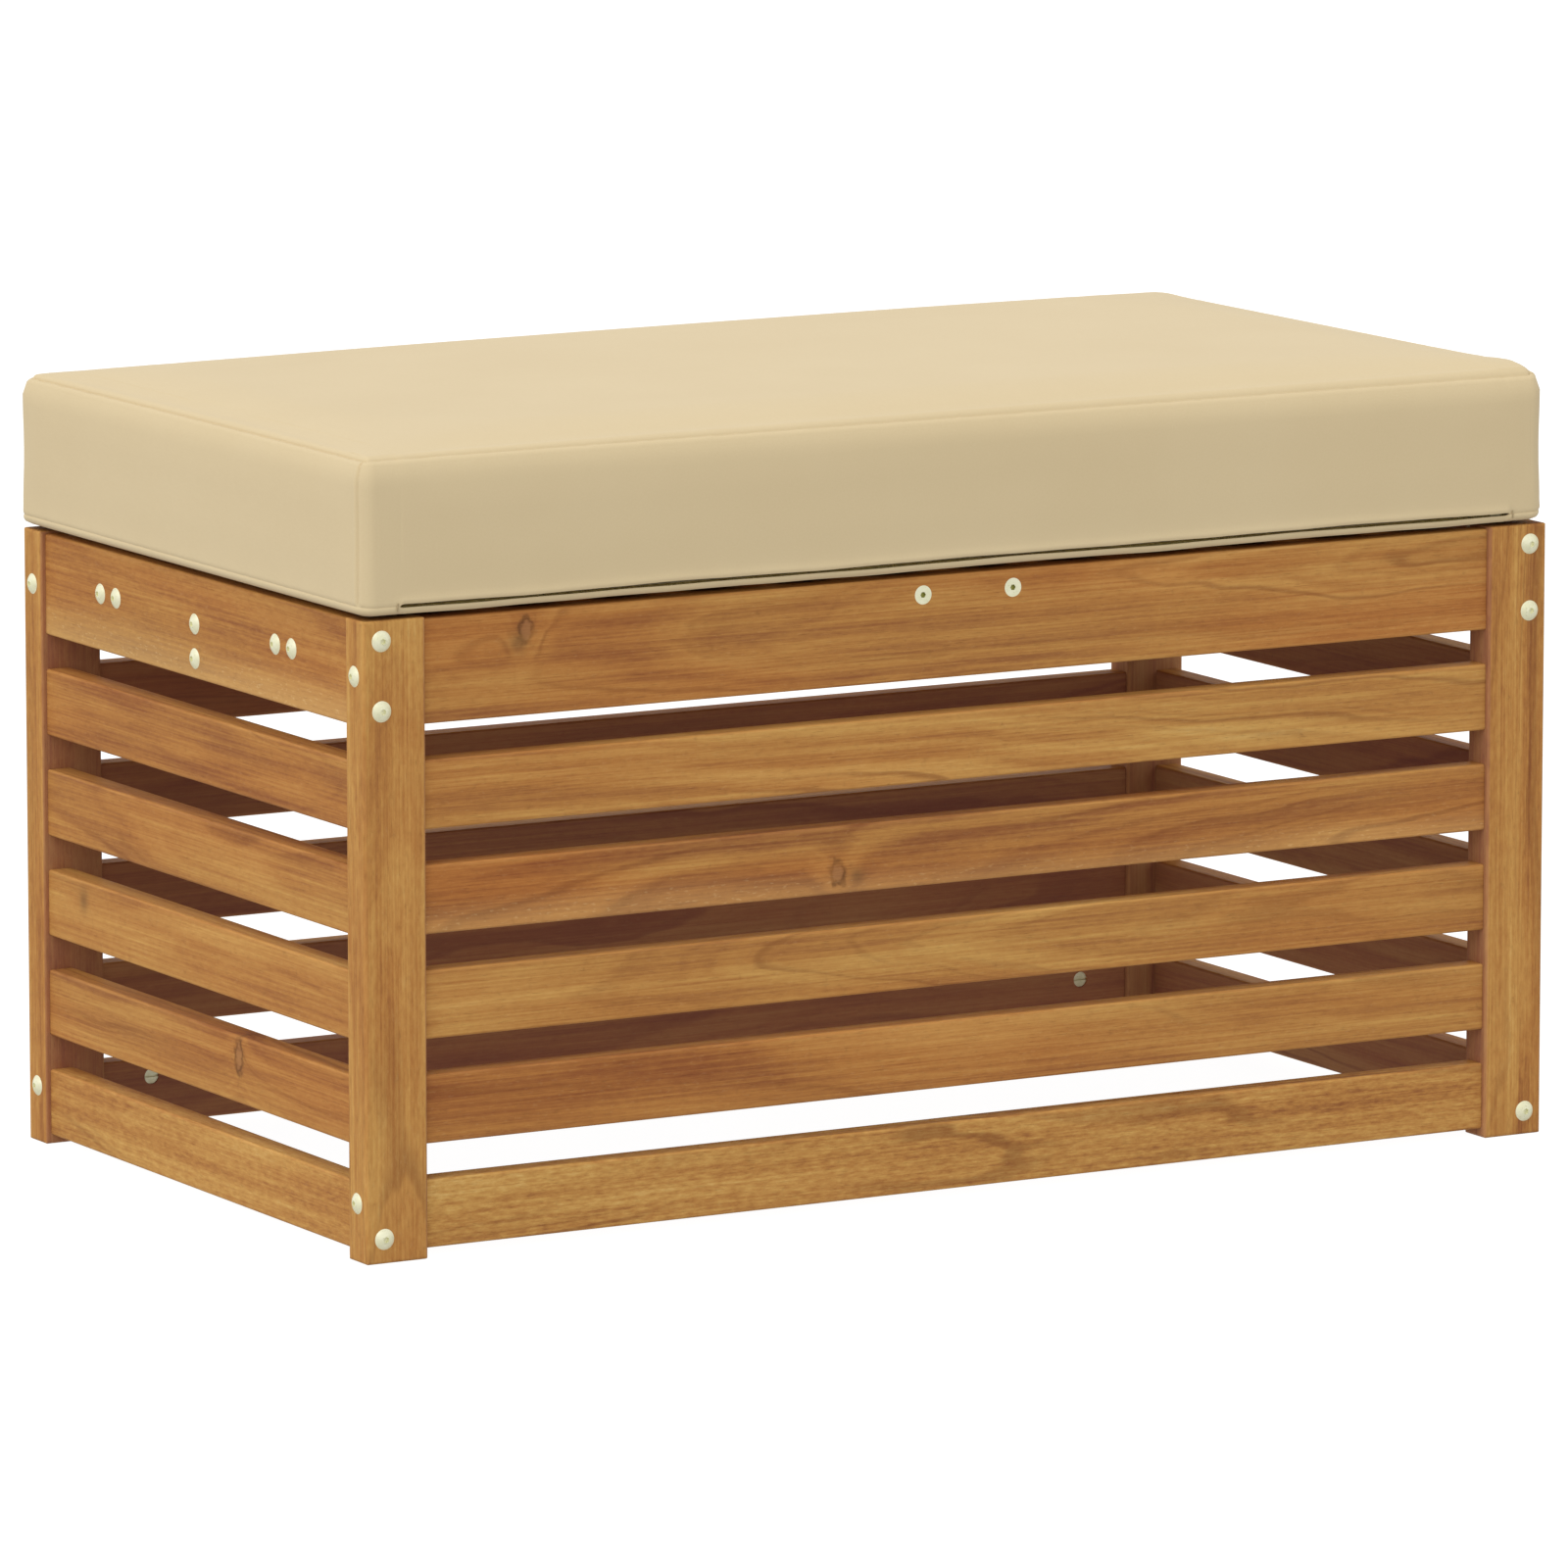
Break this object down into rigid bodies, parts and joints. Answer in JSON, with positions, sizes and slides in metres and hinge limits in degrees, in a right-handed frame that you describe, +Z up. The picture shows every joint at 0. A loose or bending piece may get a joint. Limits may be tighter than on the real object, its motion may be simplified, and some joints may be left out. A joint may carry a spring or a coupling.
{
  "type": "slatted deck box bench",
  "caption": "Slatted hardwood deck box bench with an open bottom, a fixed slatted seat deck and a loose zipped box cushion on top.",
  "frame": {"origin": "on the floor, under the middle of the wooden frame", "axes": "+X along the length, +Y from the zip side towards the back, +Z up"},
  "size_m": [1.0058, 0.551, 0.5793],
  "materials": {
    "post_timber": "oiled straight-grained hardwood, satin",
    "rail_timber": "oiled hardwood with flowing figure and small knots, satin",
    "seat_timber": "oiled hardwood, satin",
    "dowel_wood": "plain pale wood",
    "zinc_fasteners": "satin, pale yellow zinc plate",
    "cover_fabric": "matte fine plain weave",
    "cushion_foam": "matte open-cell foam",
    "zip_tape": "matte twill tape",
    "zip_coil": "satin moulded coil",
    "zip_metal": "satin plated metal"
  },
  "bodies": {
    "frame": {"post_front_left": "post_timber", "post_front_right": "post_timber", "post_back_left": "post_timber", "post_back_right": "post_timber", "front_top_rail": "rail_timber", "back_top_rail": "rail_timber", "left_top_rail": "rail_timber", "right_top_rail": "rail_timber", "front_bottom_rail": "rail_timber", "back_bottom_rail": "rail_timber", "left_bottom_rail": "rail_timber", "right_bottom_rail": "rail_timber", "front_slat_1": "rail_timber", "front_slat_2": "rail_timber", "front_slat_3": "rail_timber", "front_slat_4": "rail_timber", "back_slat_1": "rail_timber", "back_slat_2": "rail_timber", "back_slat_3": "rail_timber", "back_slat_4": "rail_timber", "left_slat_1": "rail_timber", "left_slat_2": "rail_timber", "left_slat_3": "rail_timber", "left_slat_4": "rail_timber", "right_slat_1": "rail_timber", "right_slat_2": "rail_timber", "right_slat_3": "rail_timber", "right_slat_4": "rail_timber", "seat_batten_front": "seat_timber", "seat_beam": "seat_timber", "seat_batten_back": "seat_timber", "seat_slat_01": "seat_timber", "seat_slat_02": "seat_timber", "seat_slat_03": "seat_timber", "seat_slat_04": "seat_timber", "seat_slat_05": "seat_timber", "seat_slat_06": "seat_timber", "seat_slat_07": "seat_timber", "seat_slat_08": "seat_timber", "seat_slat_09": "seat_timber", "seat_slat_10": "seat_timber", "seat_slat_11": "seat_timber", "seat_slat_12": "seat_timber", "long_rail_bolts": "zinc_fasteners", "long_rail_barrel_nuts": "zinc_fasteners", "end_rail_bolts": "zinc_fasteners", "end_rail_barrel_nuts": "zinc_fasteners", "bearer_bolts": "zinc_fasteners", "bearer_barrel_nuts": "zinc_fasteners", "seat_tie_screws": "zinc_fasteners", "seat_slat_screws": "zinc_fasteners", "rail_dowels": "dowel_wood", "slat_dowels": "dowel_wood"},
    "cushion": {"cushion_cover": "cover_fabric", "cushion_foam": "cushion_foam", "zip_tape": "zip_tape", "zip_coil": "zip_coil"},
    "zip_slider": {"zip_slider": "zip_metal"}
  },
  "joints": [
    {"name": "cushion_lift", "type": "slide", "parent": "frame", "child": "cushion", "axis": [0, 0, 1], "range_m": [0, 0.25]},
    {"name": "zip_slide", "type": "slide", "parent": "cushion", "child": "zip_slider", "axis": [1, 0, 0], "range_m": [-0.918, 0]}
  ]
}
